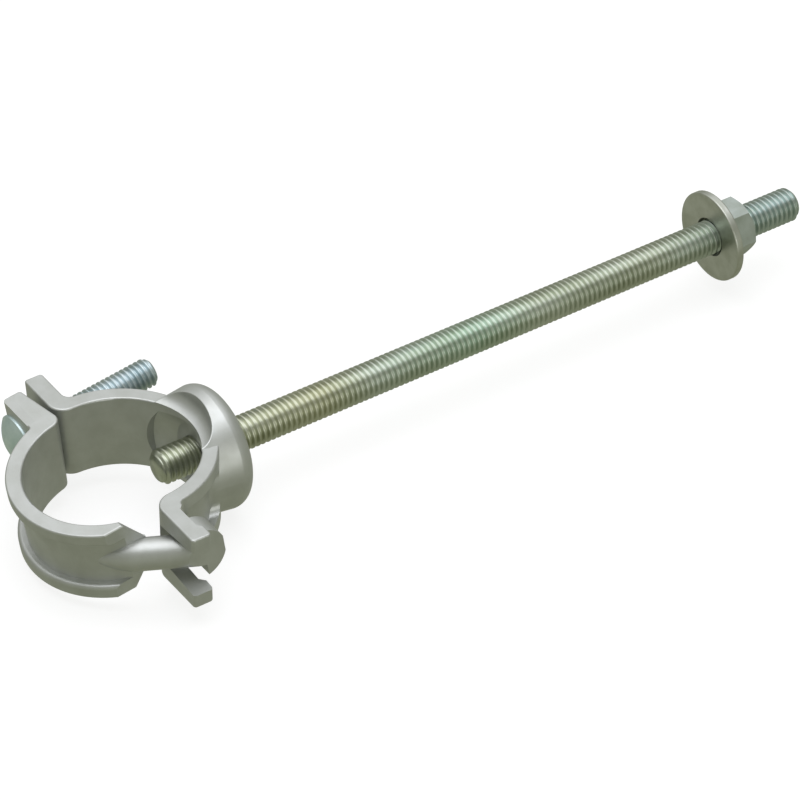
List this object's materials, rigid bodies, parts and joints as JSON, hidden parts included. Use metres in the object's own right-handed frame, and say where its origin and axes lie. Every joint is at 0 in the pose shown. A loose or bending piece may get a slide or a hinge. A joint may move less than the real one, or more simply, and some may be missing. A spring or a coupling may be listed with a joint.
{
  "type": "adjustable pipe support",
  "caption": "Adjustable pipe support: a hinged die-cast ring with a hooked strap and a clamp bolt, screwed onto a long threaded wall rod with a washer and a hex nut.",
  "frame": {"origin": "middle of the pipe ring: on the pipe's axis, half way up the ring", "axes": "+Z along the pipe, +Y along the rod from the ring towards the wall, +X towards the hooked side of the ring"},
  "size_m": [0.0782, 0.2449, 0.034],
  "materials": {
    "casting": "satin as-cast light alloy, slightly mottled",
    "bright_zinc": "clear bright zinc plate",
    "tinted_zinc": "zinc plate with a faint yellow-green passivation tint"
  },
  "bodies": {
    "rod": {"threaded_rod": "tinted_zinc"},
    "saddle": {"clamp_saddle": "casting"},
    "strap": {"clamp_strap": "casting", "clamp_bolt": "bright_zinc"},
    "bolt_nut": {"clamp_nut": "bright_zinc"},
    "wall_fixing": {"wall_washer": "tinted_zinc", "wall_nut": "tinted_zinc"}
  },
  "joints": [
    {"name": "ring_adjust", "type": "slide", "parent": "rod", "child": "saddle", "axis": [0, 1, 0], "range_m": [-0.016, 0.02]},
    {"name": "strap_swing", "type": "hinge", "parent": "saddle", "child": "strap", "pos_m": [0.02947, 0.00304, 0.00111], "axis": [0, -0.1392, 0.9903], "range_deg": [0, 12]},
    {"name": "bolt_nut_travel", "type": "slide", "parent": "strap", "child": "bolt_nut", "axis": [0, 0.9903, 0.1392], "range_m": [0, 0.0142]},
    {"name": "wall_nut_travel", "type": "slide", "parent": "rod", "child": "wall_fixing", "axis": [0, 1, 0], "range_m": [-0.128, 0.016]}
  ],
  "couplings": [
    {"joint": "bolt_nut_travel", "follows": "strap_swing", "m_per_rad": 0.067}
  ]
}
